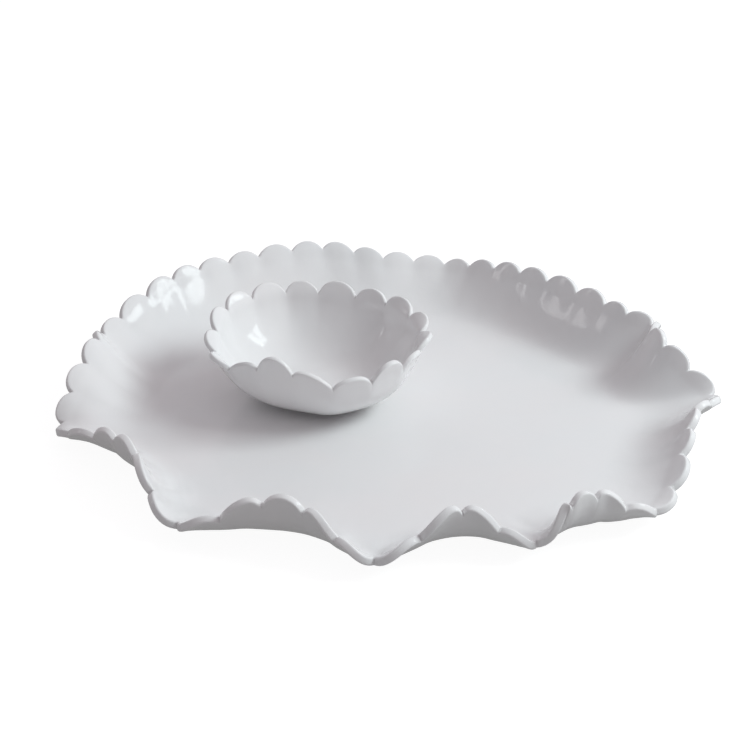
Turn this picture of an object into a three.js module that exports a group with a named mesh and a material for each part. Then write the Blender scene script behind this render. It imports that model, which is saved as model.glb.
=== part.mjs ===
// Chip and dip server: a round platter with a ruffled wall and a petal edge, and a loose dip bowl
// of the same style that stands on the platter's floor, left of its middle and towards the back.
// Millimetres, +Z up. The origin is on the table, under the middle of the set.

import * as THREE from 'three';

// ---- Driving dimensions -------------------------------------------------------------------

// A full turn, in degrees.
const FULL_TURN = 360;

// The ruffle is the closed curve that the notches, where two petals meet, lie on. It turns at its
// lobes, which run low and wide, and at its folds, which run high and narrow. A form of turn is
// [radius, height, lean], and turns of a kind share one. Lean is the rim's slope there, in degrees:
// 0 lies flat and 90 stands upright. A petal's depth is how far its tip stands beyond the ruffle,
// as a share of the petal's width.
//
// The platter's turns are [bearing, form, petals], anticlockwise seen from above. Petals is how
// many fit between this turn and the next.
const PLATTER = {
  columnsPerPetal: 2,
  petalDepth: 0.27,
  thickness: 5,
  floorRadius: 150,
  floorTop: 7.5,
  foot: { inner: 120, outer: 134, slant: 3, height: 2.5 },
  rimRadius: 190,
  floorFollow: 0.3,
  floorHandle: 0.4,
  rimHandle: 0.4,
  uprightness: 0,
  forms: {
    leftTip: [208, 12, -20],
    lobe: [198, 15, 15],
    sideLobe: [210, 14, 15],
    rightTip: [212, 20, 15],
    fold: [184, 35, 75],
    pinch: [202, 36, 90],
    ripple: [196, 29, 50],
    sideFold: [184, 42, 65],
    bump: [194, 39, 50],
    dip: [200, 34, 40],
    crest: [200, 46, 55],
    shoulder: [202, 25, 15],
  },
  turns: [
    [-173, 'leftTip', 3],
    [-150, 'fold', 1],
    [-142, 'fold', 2],
    [-127, 'lobe', 2],
    [-112, 'fold', 1],
    [-104, 'fold', 2],
    [-92, 'lobe', 2],
    [-77, 'fold', 2],
    [-65, 'lobe', 1],
    [-60, 'pinch', 1],
    [-55, 'pinch', 2],
    [-42, 'sideLobe', 3],
    [-20, 'ripple', 1],
    [-12, 'ripple', 2],
    [0, 'rightTip', 2],
    [8, 'sideFold', 1],
    [16, 'sideFold', 1],
    [21, 'bump', 1],
    [26, 'sideFold', 4],
    [58, 'sideFold', 3],
    [77, 'dip', 2],
    [90, 'bump', 2],
    [103, 'crest', 3],
    [124, 'crest', 2],
    [138, 'crest', 3],
    [161, 'dip', 1],
    [167, 'bump', 2],
    [-178, 'shoulder', 1],
  ],
};

// The bowl's petals stand at even bearings, so its turns are [form, petals], and where its petals
// are longer or shorter than the others, their length as a share of the others'.
const BOWL = {
  columnsPerPetal: 3,
  petalDepth: 0.38,
  thickness: 4,
  floorRadius: 26,
  floorTop: 5.5,
  foot: { inner: 22, outer: 29, slant: 1.2, height: 1.5 },
  rimRadius: 66,
  floorFollow: 0,
  floorHandle: 0.45,
  rimHandle: 0.4,
  uprightness: 0.6,
  forms: {
    flare: [66, 38, 30],
    high: [64, 44, 70],
    low: [66, 36, 65],
    open: [67, 43, 20],
    back: [67, 46, 55],
  },
  turns: evenlyTurned(-165, [
    ['flare', 1],
    ['flare', 1, 0.6],
    ['high', 1, 1.2],
    ['high', 1, 0.6],
    ['low', 1, 0.8],
    ['low', 1, 1.5],
    ['low', 2],
    ['open', 2],
    ['high', 3],
    ['back', 2],
    ['back', 2],
  ]),
};

// Where the bowl stands, from the middle of the platter, and its gap to the platter's floor.
const BOWL_PLACE = { x: -44, y: 27 };
const RESTING_GAP = 0.3;

// The lean of a wall that stands straight up, in degrees.
const UPRIGHT = 90;

// Fineness of the meshes, the rounding of the petals' edge, and how far to each side, in petals,
// the skin is read to find which way it faces.
const STEPS_PER_PETAL = 8;
const WALL_LEVELS = [0.1, 0.25, 0.4, 0.55, 0.7, 0.85];
const EDGE_ROUNDING = 1.2;
const SIDE_STEP = 1 / 50;

// ---- The skin of a dish ---------------------------------------------------------------------

// Gives turns their bearings, so that every petal takes up the same angle.
function evenlyTurned(firstBearing, turns) {
  const petals = turns.reduce((sum, [, count]) => sum + count, 0);
  let before = 0;
  return turns.map(([form, count, petalLength]) => {
    const bearing = firstBearing + FULL_TURN * before / petals;
    before += count;
    return [bearing, form, count, petalLength];
  });
}

function turnPoint(bearing, [radius, height]) {
  const angle = THREE.MathUtils.degToRad(bearing);
  return new THREE.Vector3(radius * Math.cos(angle), radius * Math.sin(angle), height);
}

// The notches, spread evenly along the ruffle from each turn to the next.
function spreadNotches({ forms, turns }) {
  const points = turns.map(([bearing, form]) => turnPoint(bearing, forms[form]));
  const leans = turns.map(([, form]) => forms[form][2]);
  const ruffle = new THREE.CatmullRomCurve3(points, true);
  return turns.flatMap(([, , petals, petalLength = 1], turn) => {
    const nextLean = leans[(turn + 1) % turns.length];
    return Array.from({ length: petals }, (_, petal) => ({
      place: ruffle.getPoint((turn + petal / petals) / turns.length),
      lean: THREE.MathUtils.lerp(leans[turn], nextLean, petal / petals),
      petalLength,
    }));
  });
}

// How the petals lean at a place along the rim, in degrees, eased from one notch to the next.
function leanAt(notches, around) {
  const notch = Math.floor(around);
  const [from, to] = [notch, notch + 1].map((i) => notches[i % notches.length].lean);
  return THREE.MathUtils.lerp(from, to, THREE.MathUtils.smoothstep(around, notch, notch + 1));
}

function direction(degrees) {
  const angle = THREE.MathUtils.degToRad(degrees);
  return new THREE.Vector2(Math.cos(angle), Math.sin(angle));
}

// The upright section through the wall, from the edge of the floor to the notch line. The top of
// the wall leans as the petals do, or stands more upright by the dish's uprightness.
function wallSection(dish, rim, lean) {
  const end = new THREE.Vector2(Math.hypot(rim.x, rim.y), rim.z);
  const floorEdge = dish.floorRadius + dish.floorFollow * (end.x - dish.rimRadius);
  const start = new THREE.Vector2(floorEdge, dish.floorTop);
  const span = end.clone().sub(start);
  const floorSide = start.clone().add(new THREE.Vector2(dish.floorHandle * span.x, 0));
  const wallLean = direction(THREE.MathUtils.lerp(lean, UPRIGHT, dish.uprightness));
  const rimSide = end.clone().addScaledVector(wallLean, -dish.rimHandle * span.length());
  return new THREE.CubicBezierCurve(start, floorSide, rimSide, end);
}

// The upper skin. Around counts petals along the rim from the first notch, level runs from 0 at
// the floor's edge to 1 at the notch line, and beyond is how far a petal reaches past that line.
function upperSkin(dish, notches) {
  const rimLine = new THREE.CatmullRomCurve3(notches.map(({ place }) => place), true);
  const petals = notches.length;
  return (around, level, beyond) => {
    const turned = THREE.MathUtils.euclideanModulo(around, petals);
    const rim = rimLine.getPoint(turned / petals);
    const outward = new THREE.Vector3(rim.x, rim.y, 0).normalize();
    const turn = ({ x, y }) => outward.clone().multiplyScalar(x).setZ(y);
    const lean = leanAt(notches, turned);
    const section = wallSection(dish, rim, lean);
    const place = section.getPoint(level).addScaledVector(direction(lean), beyond);
    return { place: turn(place), climb: turn(section.getTangent(level)) };
  };
}

// A point of the dish: depth 0 is on the upper skin, and depth 1 is on the underside.
function shellPoint(dish, skin, around, level, beyond, depth) {
  const { place, climb } = skin(around, level, beyond);
  const ahead = skin(around + SIDE_STEP, level, beyond).place;
  const behind = skin(around - SIDE_STEP, level, beyond).place;
  const facing = climb.cross(ahead.sub(behind)).normalize();
  return place.addScaledVector(facing, -depth * dish.thickness);
}

// ---- Rings of points ------------------------------------------------------------------------

// The ring along the petals' edge. Each petal is an arc of a circle between its two notches,
// drawn out or pressed in by its length.
function edgeRing(dish, notches, skin, inset, depth) {
  const halfArc = 2 * Math.atan(2 * dish.petalDepth);
  const ring = [];
  for (let petal = 0; petal < notches.length; petal += 1) {
    const width = skin(petal, 1, 0).place.distanceTo(skin(petal + 1, 1, 0).place);
    const arcRadius = 0.5 * width / Math.sin(halfArc);
    for (let step = 0; step < STEPS_PER_PETAL; step += 1) {
      const angle = halfArc * (2 * step / STEPS_PER_PETAL - 1);
      const around = petal + 0.5 + 0.5 * Math.sin(angle) / Math.sin(halfArc);
      const bulge = notches[petal].petalLength * arcRadius * (Math.cos(angle) - Math.cos(halfArc));
      ring.push(shellPoint(dish, skin, around, 1, bulge - inset, depth));
    }
  }
  return ring;
}

function wallRing(dish, notches, skin, level, depth) {
  const columns = dish.columnsPerPetal * notches.length;
  return Array.from({ length: columns }, (_, i) => (
    shellPoint(dish, skin, i / dish.columnsPerPetal, level, 0, depth)
  ));
}

// A flat ring whose points keep the bearings of another ring.
function levelRing(model, radius, height) {
  return model.map(({ x, y }) => (
    new THREE.Vector3(x, y, 0).setLength(radius).setZ(height)
  ));
}

// Every ring of a dish, from the middle of its floor out over the rim to the middle of its base.
function dishRings(dish) {
  const notches = spreadNotches(dish);
  const skin = upperSkin(dish, notches);
  const wall = (level, depth) => wallRing(dish, notches, skin, level, depth);
  const edge = (inset, depth) => edgeRing(dish, notches, skin, inset, depth);
  const { foot } = dish;
  const floorEdge = wall(0, 0);
  const baseTop = dish.floorTop - dish.thickness;
  const rounding = EDGE_ROUNDING / dish.thickness;
  return [
    [new THREE.Vector3(0, 0, dish.floorTop)],
    levelRing(floorEdge, dish.floorRadius / 2, dish.floorTop),
    floorEdge,
    ...WALL_LEVELS.map((level) => wall(level, 0)),
    edge(EDGE_ROUNDING, 0),
    edge(0, rounding),
    edge(0, 1 - rounding),
    edge(EDGE_ROUNDING, 1),
    ...WALL_LEVELS.toReversed().map((level) => wall(level, 1)),
    levelRing(floorEdge, foot.outer + foot.slant, foot.height),
    levelRing(floorEdge, foot.outer, 0),
    levelRing(floorEdge, foot.inner, 0),
    levelRing(floorEdge, foot.inner - foot.slant, foot.height),
    [new THREE.Vector3(0, 0, baseTop)],
  ];
}

// ---- Meshes -----------------------------------------------------------------------------------

// Joins two rings with triangles, taking the next point of whichever ring lags behind.
function joinRings(from, to, fromStart, toStart, triangles) {
  let a = 0;
  let b = 0;
  const fromCount = from.length > 1 ? from.length : 0;
  const toCount = to.length > 1 ? to.length : 0;
  while (a < fromCount || b < toCount) {
    const fromNow = fromStart + a % from.length;
    const toNow = toStart + b % to.length;
    const advanceTo = b < toCount && (a >= fromCount || (b + 1) * from.length <= (a + 1) * to.length);
    if (advanceTo) {
      b += 1;
      triangles.push(fromNow, toNow, toStart + b % to.length);
    } else {
      a += 1;
      triangles.push(fromNow, toNow, fromStart + a % from.length);
    }
  }
}

function geometryOfRings(rings) {
  const points = rings.flat();
  const triangles = [];
  let start = 0;
  for (let i = 0; i + 1 < rings.length; i += 1) {
    const next = start + rings[i].length;
    joinRings(rings[i], rings[i + 1], start, next, triangles);
    start = next;
  }
  const geometry = new THREE.BufferGeometry().setFromPoints(points);
  geometry.setIndex(triangles);
  geometry.computeVertexNormals();
  return geometry;
}

function glossyWhite() {
  return new THREE.MeshStandardMaterial({ color: '#eeeeee', roughness: 0.2, metalness: 0 });
}

function makeDish(name, dish) {
  const mesh = new THREE.Mesh(geometryOfRings(dishRings(dish)), glossyWhite());
  mesh.name = name;
  return mesh;
}

// ---- The set ------------------------------------------------------------------------------------

function makeServer() {
  const platter = makeDish('platter', PLATTER);
  const bowl = makeDish('dip_bowl', BOWL);
  bowl.position.set(BOWL_PLACE.x, BOWL_PLACE.y, PLATTER.floorTop + RESTING_GAP);

  const server = new THREE.Group();
  server.add(platter, bowl);
  const middle = new THREE.Box3().setFromObject(server, true).getCenter(new THREE.Vector3());
  server.position.set(-middle.x, -middle.y, 0);
  server.updateMatrixWorld(true);
  return server;
}

export default makeServer();
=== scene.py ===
"""Looks of the chip and dip server: a ruffled platter with a petal edge, and a loose dip bowl.

Both dishes are made again, finely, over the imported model: the same turns of the ruffle give
the same skin, with rounded petal edges, soft flutes below the notches and a hand-formed
unevenness. The dishes' sizes are in millimetres, and everything that Blender gets is in metres.
"""

import math

import bpy
import numpy as np
from mathutils import Matrix, Vector, noise


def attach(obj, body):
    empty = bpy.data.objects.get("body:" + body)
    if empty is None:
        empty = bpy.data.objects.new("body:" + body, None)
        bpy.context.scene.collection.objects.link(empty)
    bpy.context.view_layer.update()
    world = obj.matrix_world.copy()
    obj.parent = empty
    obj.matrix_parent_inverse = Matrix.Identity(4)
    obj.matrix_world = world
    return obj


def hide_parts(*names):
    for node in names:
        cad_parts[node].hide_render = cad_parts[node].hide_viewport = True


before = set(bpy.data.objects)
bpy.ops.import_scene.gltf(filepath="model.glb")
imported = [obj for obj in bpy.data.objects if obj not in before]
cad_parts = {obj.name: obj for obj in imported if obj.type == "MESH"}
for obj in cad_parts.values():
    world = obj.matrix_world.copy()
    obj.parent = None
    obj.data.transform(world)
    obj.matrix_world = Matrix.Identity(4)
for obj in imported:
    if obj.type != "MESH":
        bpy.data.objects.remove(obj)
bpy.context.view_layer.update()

MM = 0.001
FULL_TURN = 360

# ---- The dishes ----------------------------------------------------------------------------

def evenly_turned(first_bearing, turns):
    """Gives turns their bearings, so that every petal takes up the same angle."""
    petals = sum(turn[1] for turn in turns)
    before = 0
    placed = []
    for turn in turns:
        placed.append((first_bearing + FULL_TURN * before / petals, *turn))
        before += turn[1]
    return placed


# The ruffle is the closed curve that the notches, where two petals meet, lie on. It turns at its
# lobes and folds, and a form of turn is (radius, height, lean). Lean is the rim's slope there, in
# degrees: 0 lies flat and 90 stands upright. A petal's depth is how far its tip stands beyond the
# ruffle, as a share of the petal's width. The platter's turns are (bearing, form, petals), where
# petals is how many fit before the next turn.
PLATTER = {
    "forms": {
        "left_tip": (208, 12, -20),
        "lobe": (198, 15, 15),
        "side_lobe": (210, 14, 15),
        "right_tip": (212, 20, 15),
        "fold": (184, 35, 75),
        "pinch": (202, 36, 90),
        "ripple": (196, 29, 50),
        "side_fold": (184, 42, 65),
        "bump": (194, 39, 50),
        "dip": (200, 34, 40),
        "crest": (200, 46, 55),
        "shoulder": (202, 25, 15),
    },
    "turns": [
        (-173, "left_tip", 3),
        (-150, "fold", 1),
        (-142, "fold", 2),
        (-127, "lobe", 2),
        (-112, "fold", 1),
        (-104, "fold", 2),
        (-92, "lobe", 2),
        (-77, "fold", 2),
        (-65, "lobe", 1),
        (-60, "pinch", 1),
        (-55, "pinch", 2),
        (-42, "side_lobe", 3),
        (-20, "ripple", 1),
        (-12, "ripple", 2),
        (0, "right_tip", 2),
        (8, "side_fold", 1),
        (16, "side_fold", 1),
        (21, "bump", 1),
        (26, "side_fold", 4),
        (58, "side_fold", 3),
        (77, "dip", 2),
        (90, "bump", 2),
        (103, "crest", 3),
        (124, "crest", 2),
        (138, "crest", 3),
        (161, "dip", 1),
        (167, "bump", 2),
        (-178, "shoulder", 1),
    ],
    "petal_depth": 0.27,
    "thickness": 5,
    "edge_thickness": 5,
    "edge_rounding": 1.3,
    "floor_radius": 150,
    "floor_top": 7.5,
    "foot": {"inner": 120, "outer": 134, "slant": 3, "height": 2.5},
    "rim_radius": 190,
    "floor_follow": 0.3,
    "floor_handle": 0.4,
    "rim_handle": 0.4,
    "uprightness": 0,
    "flute_depth": 0.6,
    "flute_reach": 26,
    "waves": [(85, 0.7), (38, 0.3)],
    "floor_rings": 34,
}

# The bowl's petals stand at even bearings, so its turns are (form, petals), and where its petals
# are longer or shorter than the others, their length as a share of the others'.
BOWL = {
    "forms": {
        "flare": (66, 38, 30),
        "high": (64, 44, 70),
        "low": (66, 36, 65),
        "open": (67, 43, 20),
        "back": (67, 46, 55),
    },
    "turns": evenly_turned(-165, [
        ("flare", 1),
        ("flare", 1, 0.6),
        ("high", 1, 1.2),
        ("high", 1, 0.6),
        ("low", 1, 0.8),
        ("low", 1, 1.5),
        ("low", 2),
        ("open", 2),
        ("high", 3),
        ("back", 2),
        ("back", 2),
    ]),
    "petal_depth": 0.38,
    "thickness": 4,
    "edge_thickness": 3.6,
    "edge_rounding": 1.2,
    "floor_radius": 26,
    "floor_top": 5.5,
    "foot": {"inner": 22, "outer": 29, "slant": 1.2, "height": 1.5},
    "rim_radius": 66,
    "floor_follow": 0,
    "floor_handle": 0.45,
    "rim_handle": 0.4,
    "uprightness": 0.6,
    "flute_depth": 0.8,
    "flute_reach": 30,
    "waves": [(45, 0.5), (20, 0.15)],
    "floor_rings": 12,
}

# The melamine: two whites that it drifts between, and its roughness from smooth to dull spots.
WHITE_COOL = (0.855, 0.86, 0.865, 1)
WHITE_WARM = (0.875, 0.86, 0.862, 1)
ROUGHNESS = (0.06, 0.11)
REFRACTION = 1.5

# The melamine's noises are (features per metre, detail), and two of them raise the surface by
# this many mm. A noise is spread over the part of its range that it mostly keeps to.
TONE_NOISE = (14, 3)
GLOSS_NOISE = (30, 4)
SAG_NOISE = (60, 2)
GRAIN_NOISE = (900, 2)
SAG_HEIGHT = 0.12
GRAIN_HEIGHT = 0.004
NOISE_RANGE = (0.3, 0.7)
PLATTER_SEED = 1.7
BOWL_SEED = 5.3

# The studio: the floor's tone, glow, roughness and half width in metres, and the surround's
# strength on its dim side and opposite, with its tint. A light is (azimuth, elevation, (width,
# height) in metres, power in watts), aimed at the platter from LIGHT_DISTANCE metres.
FLOOR_TONE = (0.25, 0.25, 0.25, 1)
FLOOR_GLOW_SEEN = 0.9
FLOOR_GLOW = 0.2
FLOOR_ROUGHNESS = 0.9
FLOOR_HALF = 6
AMBIENT_DIM = 0.23
AMBIENT_BRIGHT = 0.61
DIM_SIDE = (-0.62, -0.74, -0.25)
AMBIENT_TINT = (1.0, 0.94, 0.985, 1)
KEY_TINT = (0.9, 1.0, 1.0)
WHITE_TINT = (1, 1, 1)
LIGHT_DISTANCE = 1.6
KEY = (-2, 42, (0.9, 0.6), 13.8)
PANES = [(6, 34, (0.16, 0.5), 1.1), (14, 34, (0.16, 0.5), 1.1)]
FAR_WINDOW = (172, 24, (0.12, 0.34), 0.26)

# The camera: how far down it looks, from how far, through what lens, and at what point, in mm
# from the middle of the platter's foot.
CAMERA_FALL = 25
CAMERA_DISTANCE = 1.2
CAMERA_LENS = 87
SENSOR_WIDTH = 36
LOOK_AT = (-6.4, 27.6, 20)

# Fineness of the meshes. The petals' own rows start PETAL_ROOT mm below the notch line.
STEPS_PER_PETAL = 16
WALL_ROWS = 20
PETAL_ROWS = 12
UNDERSIDE_ROWS = 14
PETAL_ROOT = 14
CORNER_STEPS = 4
FOOT_STEPS = 7
LEAST_SPACING = 1.8

# Over how many mm the wall bends into the petals, with the (place, share) pairs that smooth the
# bend, and how far the skin is read either side, in mm
# and in petals, to find which way it faces.
BEND = 3.5
BEND_SHARES = ((-1, 1), (-0.5, 2), (0, 2), (0.5, 2), (1, 1))
SIDE_MM = 0.4
SIDE_PETALS = 0.03

# The waves stay off the petals' edge over this many mm, and a notch's mitre has a limit. The fine
# edge stands back by EDGE_MARGIN mm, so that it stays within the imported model's box.
WAVE_EDGE = 9
MITRE_LIMIT = 2
EDGE_MARGIN = 0.5

# A flute's half width in petals, the share of the underside's wall near the floor that has no
# waves, how much the underside's rows crowd towards the floor, and how far above a node's lowest
# point, in mm, its foot's ring is looked for.
FLUTE_WIDTH = 0.42
UNDERSIDE_CALM = 0.35
UNDERSIDE_CROWDING = 1.2
FOOT_SEARCH = 0.1


# ---- The skin of a dish ----------------------------------------------------------------------

def smooth_step(low, high, value):
    share = np.clip((value - low) / (high - low), 0, 1)
    return share * share * (3 - 2 * share)


def closed_curve(start):
    """The closed curve through the points, read at places counted from the first point."""
    end = np.roll(start, -1, axis=0)
    before = np.roll(start, 1, axis=0)
    after = np.roll(start, -2, axis=0)
    gap = np.sqrt(np.linalg.norm(end - start, axis=1))[:, None]
    gap_before = np.roll(gap, 1, axis=0)
    gap_after = np.roll(gap, -1, axis=0)
    leave = (start - before) / gap_before - (end - before) / (gap_before + gap)
    leave = leave * gap + (end - start)
    arrive = (after - end) / gap_after - (after - start) / (gap + gap_after)
    arrive = arrive * gap + (end - start)

    def points(around):
        stretch = np.floor(around).astype(int) % len(start)
        t = (around - np.floor(around))[..., None]
        place = (1 + 2 * t) * (1 - t) ** 2 * start[stretch] + t * t * (3 - 2 * t) * end[stretch]
        return place + t * (1 - t) ** 2 * leave[stretch] - t * t * (1 - t) * arrive[stretch]

    return points


def turn_point(bearing, radius, height):
    angle = math.radians(bearing)
    return radius * math.cos(angle), radius * math.sin(angle), height


def spread_notches(forms, turns):
    """The notches' points, leans and petal lengths, spread evenly from each turn to the next."""
    points = [turn_point(turn[0], *forms[turn[1]][:2]) for turn in turns]
    ruffle = closed_curve(np.array(points))
    around, leans, lengths = [], [], []
    for index, (turn, following) in enumerate(zip(turns, turns[1:] + turns[:1])):
        lean = forms[turn[1]][2]
        next_lean = forms[following[1]][2]
        petals = turn[2]
        for petal in range(petals):
            around.append(index + petal / petals)
            leans.append(lean + (next_lean - lean) * petal / petals)
            lengths.append(turn[3] if len(turn) > 3 else 1)
    return ruffle(np.array(around)), np.radians(leans), np.array(lengths)


def rim_lean(leans, around):
    """How the petals lean, in radians, eased from one notch to the next."""
    petal = np.floor(around).astype(int) % len(leans)
    ease = smooth_step(0, 1, around - np.floor(around))
    return leans[petal] * (1 - ease) + np.roll(leans, -1)[petal] * ease


def bezier(points, t):
    a, b, c, d = points
    s = 1 - t
    return s ** 3 * a + 3 * s * s * t * b + 3 * s * t * t * c + t ** 3 * d


class Skin:
    """The upper skin, read at a place along the rim, counted in petals, and a reach in mm.

    The reach is 0 at the notch line, positive on the petals and negative down the wall.
    """

    def __init__(self, dish):
        self.dish = dish
        notches, self.leans, self.lengths = spread_notches(dish["forms"], dish["turns"])
        self.rim_line = closed_curve(notches)

    def wall(self, around):
        """The notch line's points there, with their radius, the floor's edge and the chord."""
        dish = self.dish
        rim = self.rim_line(around)
        radius = np.hypot(rim[..., 0], rim[..., 1])
        floor_edge = dish["floor_radius"] + dish["floor_follow"] * (radius - dish["rim_radius"])
        chord = np.hypot(radius - floor_edge, rim[..., 2] - dish["floor_top"])
        return rim, radius, floor_edge, chord

    def stretch(self, around):
        """How many mm of reach the wall takes from the floor to the notch line."""
        return 3 * self.dish["rim_handle"] * self.wall(around)[3]

    def section(self, around, reach):
        dish = self.dish
        rim, radius, floor_edge, chord = self.wall(around)
        lean = rim_lean(self.leans, around)
        upright = lean + (math.pi / 2 - lean) * dish["uprightness"]
        handle = dish["rim_handle"] * chord
        floor_side = floor_edge + dish["floor_handle"] * (radius - floor_edge)
        across = (floor_edge, floor_side, radius - handle * np.cos(upright), radius)
        floor_top = dish["floor_top"]
        up = (floor_top, floor_top, rim[..., 2] - handle * np.sin(upright), rim[..., 2])
        level = np.clip(1 + reach / (3 * handle), 0, 1)
        beyond = np.maximum(reach, 0)
        x = bezier(across, level) + beyond * np.cos(lean)
        z = bezier(up, level) + beyond * np.sin(lean)
        outward = rim[..., :2] / radius[..., None]
        return np.concatenate([outward * x[..., None], z[..., None]], axis=-1)

    def place(self, around, reach):
        """The section, with the bend at the notch line smoothed."""
        total = sum(share for _, share in BEND_SHARES)
        parts = [share * self.section(around, reach + BEND * step) for step, share in BEND_SHARES]
        return sum(parts) / total

    def facing(self, around, reach):
        climb = self.place(around, reach + SIDE_MM) - self.place(around, reach - SIDE_MM)
        ahead = self.place(around + SIDE_PETALS, reach)
        behind = self.place(around - SIDE_PETALS, reach)
        normal = np.cross(climb, ahead - behind)
        return normal / np.linalg.norm(normal, axis=-1, keepdims=True)


def waves(dish, points):
    """A hand-formed unevenness, between nothing and minus each wave's height."""
    total = np.zeros(len(points))
    for size, height in dish["waves"]:
        shift = Vector((0, 0, size))
        heights = [noise.noise(Vector(point) / size + shift) for point in points]
        total += height * 0.5 * (np.array(heights) - 1)
    return total


def flutes(dish, around, reach):
    """A soft valley down the wall from each notch."""
    from_notch = np.abs(around - np.round(around))
    across = 1 - smooth_step(0, FLUTE_WIDTH, from_notch)
    return -dish["flute_depth"] * across * smooth_step(-dish["flute_reach"], 0, reach)


# ---- Rings of points -------------------------------------------------------------------------

class Columns:
    """The places along the rim that the rows share, with the petals' edge at each."""

    def __init__(self, dish, skin):
        petals = len(skin.leans)
        half_arc = 2 * math.atan(2 * dish["petal_depth"])
        notches = skin.place(np.arange(petals, dtype=float), np.zeros(petals))
        width = np.linalg.norm(np.roll(notches, -1, axis=0) - notches, axis=1)
        angle = half_arc * (2 * np.arange(STEPS_PER_PETAL) / STEPS_PER_PETAL - 1)
        angle = np.tile(angle, petals)
        petal = np.repeat(np.arange(petals), STEPS_PER_PETAL)
        self.around = petal + 0.5 + 0.5 * np.sin(angle) / math.sin(half_arc)
        radius = 0.5 * width[petal] / math.sin(half_arc)
        self.edge = skin.lengths[petal] * radius * (np.cos(angle) - math.cos(half_arc)) - EDGE_MARGIN
        self.mitre = np.minimum(1 / np.cos(angle), MITRE_LIMIT)


def shell_ring(skin, around, reach, depth):
    """A ring of the wall or the petals: depth 0 is the upper skin and depth 1 is the underside."""
    dish = skin.dish
    points = skin.place(around, reach)
    calm = 1 - smooth_step(-WAVE_EDGE, 0, reach)
    if depth > 0:
        calm = calm * smooth_step(0, UNDERSIDE_CALM, 1 + reach / skin.stretch(around))
    rise = waves(dish, points) * calm + flutes(dish, around, reach)
    thinner = smooth_step(-PETAL_ROOT, 0, reach)
    thickness = dish["thickness"] + thinner * (dish["edge_thickness"] - dish["thickness"])
    return points + skin.facing(around, reach) * (rise - depth * thickness)[:, None]


def upper_rings(skin, columns):
    """From the floor's edge up the wall to where the petals' edge starts to turn over."""
    stretch = skin.stretch(columns.around)
    turn = columns.edge - skin.dish["edge_rounding"] * columns.mitre
    wall = [-stretch + share * (stretch - PETAL_ROOT) for share in np.linspace(0, 1, WALL_ROWS)]
    petals = [-PETAL_ROOT + share * (turn + PETAL_ROOT) for share in np.linspace(0, 1, PETAL_ROWS)]
    return [shell_ring(skin, columns.around, reach, 0) for reach in wall + petals[1:-1]]


def edge_rings(skin, columns):
    """Round the petals' edge: a corner, a flat band and a corner."""
    rounding = skin.dish["edge_rounding"]
    full = skin.dish["edge_thickness"]
    turns = np.radians(np.linspace(0, 90, CORNER_STEPS + 1))
    corner = [(rounding * (1 - math.sin(turn)), rounding * (1 - math.cos(turn))) for turn in turns]
    profile = corner + [(0, full / 2)] + [(inset, full - depth) for inset, depth in corner[::-1]]
    return [
        shell_ring(skin, columns.around, columns.edge - inset * columns.mitre, depth / full)
        for inset, depth in profile
    ]


def under_rings(skin, columns):
    """Back down the underside to the floor's edge."""
    stretch = skin.stretch(columns.around)
    turn = columns.edge - skin.dish["edge_rounding"] * columns.mitre
    shares = np.linspace(1, 0, UNDERSIDE_ROWS + 1)[1:] ** UNDERSIDE_CROWDING
    return [
        shell_ring(skin, columns.around, -stretch + share * (turn + stretch), 1)
        for share in shares
    ]


def level_ring(bearings, radius, height):
    return np.column_stack([
        radius * np.cos(bearings), radius * np.sin(bearings), height + 0 * bearings
    ])


def thinned(bearings, radius):
    """Every second bearing, and again, until they stand far enough apart."""
    while len(bearings) % 2 == 0 and 2 * math.pi * radius / len(bearings) < LEAST_SPACING:
        bearings = bearings[::2]
    return bearings


def floor_rings(skin, edge):
    """The floor's rings from its edge in to its middle."""
    dish = skin.dish
    rings = []
    bearings = np.arctan2(edge[:, 1], edge[:, 0])
    radii = np.hypot(edge[:, 0], edge[:, 1])
    count = dish["floor_rings"]
    for share in np.linspace(1, 0, count + 1)[1:]:
        kept = thinned(bearings, share * dish["floor_radius"])
        radii = radii[:: len(bearings) // len(kept)]
        bearings = kept
        ring = level_ring(bearings, share * radii, dish["floor_top"])
        rings.append(ring if share else ring[:1])
    for ring in rings:
        ring[:, 2] += waves(dish, ring)
    return rings


def base_rings(skin, edge):
    """The foot ring, an S on either side of a flat face, and the base within it."""
    foot = skin.dish["foot"]
    bearings = thinned(np.arctan2(edge[:, 1], edge[:, 0]), foot["outer"])
    shares = np.linspace(0, 1, FOOT_STEPS)
    heights = foot["height"] * smooth_step(0, 1, shares)
    rings = [
        level_ring(bearings, foot["outer"] + foot["slant"] * share, height)
        for share, height in zip(shares[::-1], heights[::-1])
    ]
    rings += [
        level_ring(bearings, foot["inner"] - foot["slant"] * share, height)
        for share, height in zip(shares, heights)
    ]
    inner = foot["inner"] - foot["slant"]
    for share in np.linspace(1, 0, skin.dish["floor_rings"] // 2)[1:]:
        bearings = thinned(bearings, share * inner)
        ring = level_ring(bearings, share * inner, foot["height"])
        rings.append(ring if share else ring[:1])
    return rings


# ---- Meshes ------------------------------------------------------------------------------------

def join_rings(outer, inner, outer_start, inner_start):
    """Faces from a ring to the next one in, which has as many points, or a part of them."""
    count = len(outer)
    ratio = count // len(inner)
    faces = []
    for i in range(count):
        group, step = divmod(i, ratio)
        here = outer_start + i
        ahead = outer_start + (i + 1) % count
        near = inner_start + group
        far = inner_start + (group + 1) % len(inner)
        if ratio == 1:
            faces.append((here, ahead, far, near))
            continue
        if 2 * step == ratio and far != near:
            faces.append((here, far, near))
        faces.append((here, ahead, near if 2 * step < ratio else far))
    return faces


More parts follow.
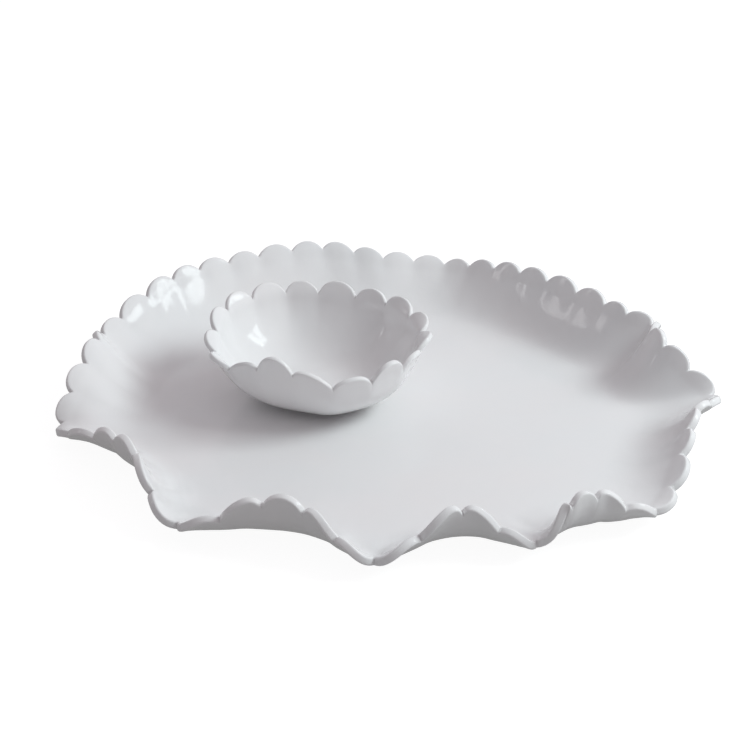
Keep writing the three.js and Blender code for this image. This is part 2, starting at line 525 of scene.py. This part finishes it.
def mesh_of_rings(name, rings):
    points = np.concatenate(rings)
    faces = []
    start = 0
    for ring, following in zip(rings, rings[1:]):
        after = start + len(ring)
        if len(following) > len(ring):
            swapped = join_rings(following, ring, after, start)
            faces += [face[::-1] for face in swapped]
        else:
            faces += join_rings(ring, following, start, after)
        start = after
    mesh = bpy.data.meshes.new(name)
    mesh.from_pydata(points * MM, [], faces)
    mesh.shade_smooth()
    mesh.validate()
    return mesh


def dish_mesh(name, dish):
    skin = Skin(dish)
    columns = Columns(dish, skin)
    upper = upper_rings(skin, columns)
    under = under_rings(skin, columns)
    rings = floor_rings(skin, upper[0])[::-1]
    rings += upper + edge_rings(skin, columns) + under
    rings += base_rings(skin, under[-1])
    return mesh_of_rings(name, rings)


# ---- Pieces --------------------------------------------------------------------------------------

def foot_middle(node):
    """The middle of a dish's foot ring, and the height that it stands at, in metres."""
    corners = np.empty(3 * len(node.data.vertices))
    node.data.vertices.foreach_get("co", corners)
    corners = corners.reshape(-1, 3)
    bottom = corners[:, 2].min()
    ring = corners[corners[:, 2] < bottom + FOOT_SEARCH * MM]
    sides = np.column_stack([2 * ring[:, :2], np.ones(len(ring))])
    radii = np.hypot(*(ring[:, :2] - ring[:, :2].mean(axis=0)).T)
    outer = radii > radii.mean()
    squares = (ring[:, :2] ** 2).sum(axis=1)
    x, y, _ = np.linalg.lstsq(sides[outer], squares[outer], rcond=None)[0]
    return Vector((x, y, bottom))


def make_dish(name, dish, node, body, material):
    piece = bpy.data.objects.new(name, dish_mesh(name, dish))
    bpy.context.scene.collection.objects.link(piece)
    piece.data.transform(Matrix.Translation(foot_middle(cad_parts[node])))
    piece.data.materials.append(material)
    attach(piece, body)
    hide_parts(node)
    return piece


# ---- Materials ---------------------------------------------------------------------------------

def noise_field(nodes, links, place, scale, detail, seed):
    """A noise texture at a scale in features per metre, and its own place."""
    field = nodes.new("ShaderNodeTexNoise")
    shift = nodes.new("ShaderNodeVectorMath")
    shift.operation = "ADD"
    shift.inputs[1].default_value = (seed, 2 * seed, 3 * seed)
    links.new(place, shift.inputs[0])
    links.new(shift.outputs[0], field.inputs["Vector"])
    field.inputs["Scale"].default_value = scale
    field.inputs["Detail"].default_value = detail
    return field.outputs["Fac"]


def spread(nodes, links, value, low, high):
    """Maps a noise to the range from low to high."""
    ramp = nodes.new("ShaderNodeMapRange")
    ramp.inputs["From Min"].default_value = NOISE_RANGE[0]
    ramp.inputs["From Max"].default_value = NOISE_RANGE[1]
    ramp.inputs["To Min"].default_value = low
    ramp.inputs["To Max"].default_value = high
    links.new(value, ramp.inputs["Value"])
    return ramp.outputs["Result"]


def bump(nodes, links, height, distance, below=None):
    node = nodes.new("ShaderNodeBump")
    node.inputs["Strength"].default_value = 1
    node.inputs["Distance"].default_value = distance
    links.new(height, node.inputs["Height"])
    if below:
        links.new(below, node.inputs["Normal"])
    return node.outputs["Normal"]


def gloss_white(name, seed):
    """Glossy white melamine: a faint mottle of tone and gloss under a wavering, clear surface."""
    material = bpy.data.materials.new(name)
    material.use_nodes = True
    nodes, links = material.node_tree.nodes, material.node_tree.links
    shader = nodes["Principled BSDF"]
    place = nodes.new("ShaderNodeTexCoord").outputs["Object"]

    tone = noise_field(nodes, links, place, *TONE_NOISE, seed)
    mix = nodes.new("ShaderNodeMix")
    mix.data_type = "RGBA"
    mix.inputs["A"].default_value = WHITE_COOL
    mix.inputs["B"].default_value = WHITE_WARM
    links.new(spread(nodes, links, tone, 0, 1), mix.inputs["Factor"])
    links.new(mix.outputs["Result"], shader.inputs["Base Color"])

    gloss = noise_field(nodes, links, place, *GLOSS_NOISE, seed + 1)
    links.new(spread(nodes, links, gloss, *ROUGHNESS), shader.inputs["Roughness"])

    sag = noise_field(nodes, links, place, *SAG_NOISE, seed + 2)
    grain = noise_field(nodes, links, place, *GRAIN_NOISE, seed + 3)
    wavering = bump(nodes, links, sag, SAG_HEIGHT * MM)
    surface = bump(nodes, links, grain, GRAIN_HEIGHT * MM, wavering)
    links.new(surface, shader.inputs["Normal"])
    shader.inputs["IOR"].default_value = REFRACTION
    return material


# ---- Studio ----------------------------------------------------------------------------------------

def softbox(name, target, box, tint):
    """A rectangular light that faces the target from a bearing and an elevation."""
    azimuth, elevation, size, power = box
    light = bpy.data.lights.new(name, "AREA")
    light.shape = "RECTANGLE"
    light.size, light.size_y = size
    light.energy = power
    light.color = tint
    lamp = bpy.data.objects.new(name, light)
    bpy.context.scene.collection.objects.link(lamp)
    bearing, rise = math.radians(azimuth), math.radians(elevation)
    flat = math.cos(rise)
    aim = Vector((flat * math.cos(bearing), flat * math.sin(bearing), math.sin(rise)))
    lamp.location = target + LIGHT_DISTANCE * aim
    lamp.rotation_euler = aim.to_track_quat("Z", "Y").to_euler()
    return lamp


def seen_or_not(nodes, links, seen, otherwise):
    """A strength for what is seen straight on, and another for the light that it gives."""
    strength = nodes.new("ShaderNodeMapRange")
    strength.inputs["To Min"].default_value = otherwise
    strength.inputs["To Max"].default_value = seen
    links.new(nodes.new("ShaderNodeLightPath").outputs["Is Camera Ray"], strength.inputs["Value"])
    return strength.outputs["Result"]


def make_floor():
    """A plain white floor that glows a little, so that it stays white round the dishes."""
    mesh = bpy.data.meshes.new("floor")
    signs = ((-1, -1), (1, -1), (1, 1), (-1, 1))
    corners = [(FLOOR_HALF * x, FLOOR_HALF * y, 0) for x, y in signs]
    mesh.from_pydata(corners, [], [(0, 1, 2, 3)])
    floor = bpy.data.objects.new("floor", mesh)
    bpy.context.scene.collection.objects.link(floor)
    material = bpy.data.materials.new("floor_white")
    material.use_nodes = True
    nodes, links = material.node_tree.nodes, material.node_tree.links
    shader = nodes["Principled BSDF"]
    shader.inputs["Base Color"].default_value = FLOOR_TONE
    shader.inputs["Roughness"].default_value = FLOOR_ROUGHNESS
    shader.inputs["Specular IOR Level"].default_value = 0
    shader.inputs["Emission Color"].default_value = (1, 1, 1, 1)
    glow = seen_or_not(nodes, links, FLOOR_GLOW_SEEN, FLOOR_GLOW)
    links.new(glow, shader.inputs["Emission Strength"])
    mesh.materials.append(material)


def make_world():
    """A pale surround, dimmer towards one side, which the camera sees as white."""
    world = bpy.data.worlds.new("surround")
    bpy.context.scene.world = world
    world.use_nodes = True
    nodes, links = world.node_tree.nodes, world.node_tree.links
    background = nodes["Background"]
    background.inputs["Color"].default_value = AMBIENT_TINT
    towards = nodes.new("ShaderNodeVectorMath")
    towards.operation = "DOT_PRODUCT"
    towards.inputs[1].default_value = DIM_SIDE
    links.new(nodes.new("ShaderNodeTexCoord").outputs["Generated"], towards.inputs[0])
    shade = nodes.new("ShaderNodeMapRange")
    shade.inputs["From Min"].default_value = -1
    shade.inputs["To Min"].default_value = AMBIENT_BRIGHT
    shade.inputs["To Max"].default_value = AMBIENT_DIM
    links.new(towards.outputs["Value"], shade.inputs["Value"])
    strength = seen_or_not(nodes, links, 1, 0)
    links.new(shade.outputs["Result"], strength.node.inputs["To Min"])
    links.new(strength, background.inputs["Strength"])


def make_camera(look_at):
    """The photographed view, straight along +Y and looking down."""
    camera = bpy.data.cameras.new("camera")
    camera.lens = CAMERA_LENS
    camera.sensor_width = SENSOR_WIDTH
    eye = bpy.data.objects.new("camera", camera)
    bpy.context.scene.collection.objects.link(eye)
    fall = math.radians(CAMERA_FALL)
    aim = Vector((0, -math.cos(fall), math.sin(fall)))
    eye.location = look_at + CAMERA_DISTANCE * aim
    eye.rotation_euler = aim.to_track_quat("Z", "Y").to_euler()
    bpy.context.scene.camera = eye


def make_lights(target):
    """A soft key that gloss doesn't mirror, and the window panes and far window that it does."""
    key = softbox("key", target, KEY, KEY_TINT)
    key.visible_glossy = False
    for index, pane in enumerate(PANES):
        softbox(f"pane_{index}", target, pane, KEY_TINT)
    softbox("far_window", target, FAR_WINDOW, WHITE_TINT)


def main():
    platter_middle = foot_middle(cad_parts["platter"])
    platter_white = gloss_white("platter_melamine", PLATTER_SEED)
    make_dish("platter_shell", PLATTER, "platter", "platter", platter_white)
    bowl_white = gloss_white("bowl_melamine", BOWL_SEED)
    make_dish("dip_bowl_shell", BOWL, "dip_bowl", "dip_bowl", bowl_white)
    make_floor()
    make_world()
    make_lights(platter_middle)
    make_camera(platter_middle + Vector(LOOK_AT) * MM)
    bpy.context.scene.view_settings.view_transform = "Standard"


main()
